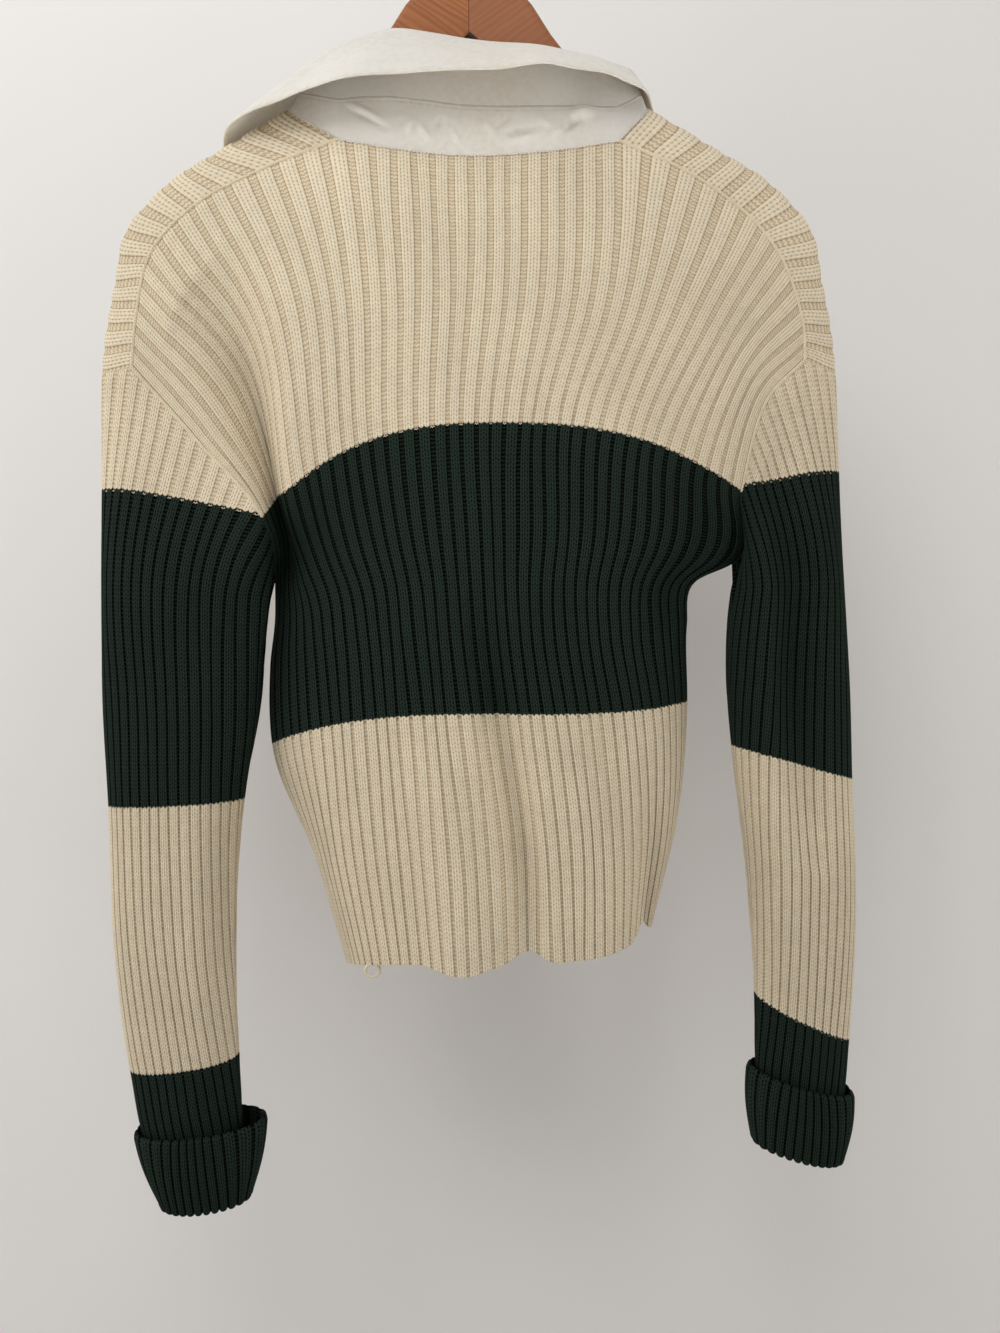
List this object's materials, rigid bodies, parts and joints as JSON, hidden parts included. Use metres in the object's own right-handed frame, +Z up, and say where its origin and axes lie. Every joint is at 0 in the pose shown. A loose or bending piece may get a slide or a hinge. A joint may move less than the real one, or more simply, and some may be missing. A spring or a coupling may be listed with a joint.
{
  "type": "rib-knit rugby shirt on a wooden hanger",
  "caption": "Long-sleeved rib-knit rugby shirt with a turned-down woven collar, a buttoned front placket and turned-back cuffs, hung on a wooden hanger with a wire hook.",
  "frame": {"origin": "underside of the top bend of the hanger's hook, where a rail carries it", "axes": "+Z up; the back of the garment faces -Y and its front +Y; the wearer's right is at +X"},
  "size_m": [0.492, 0.1349, 0.8841],
  "materials": {
    "rib_knit": "matt two-by-two rib-knit cotton, cream with a wide dark green band on the body and one on each sleeve",
    "cuff_knit": "matt dark green rib-knit cotton",
    "woven_white": "soft off-white woven cotton, creased",
    "button": "plain off-white, slightly glossy",
    "hanger_wood": "varnished reddish beech",
    "hook_steel": "plain drawn wire"
  },
  "bodies": {
    "root": {"back": "rib_knit", "front": "rib_knit", "sleeve_left": "rib_knit", "sleeve_right": "rib_knit", "cuff_left": "cuff_knit", "cuff_right": "cuff_knit", "collar_stand": "woven_white", "collar_leaf": "woven_white", "placket_over": "woven_white", "placket_under": "woven_white", "button_1": "button", "button_2": "button", "button_3": "button", "hanger_left": "hanger_wood", "hanger_right": "hanger_wood", "hook": "hook_steel"}
  },
  "joints": []
}
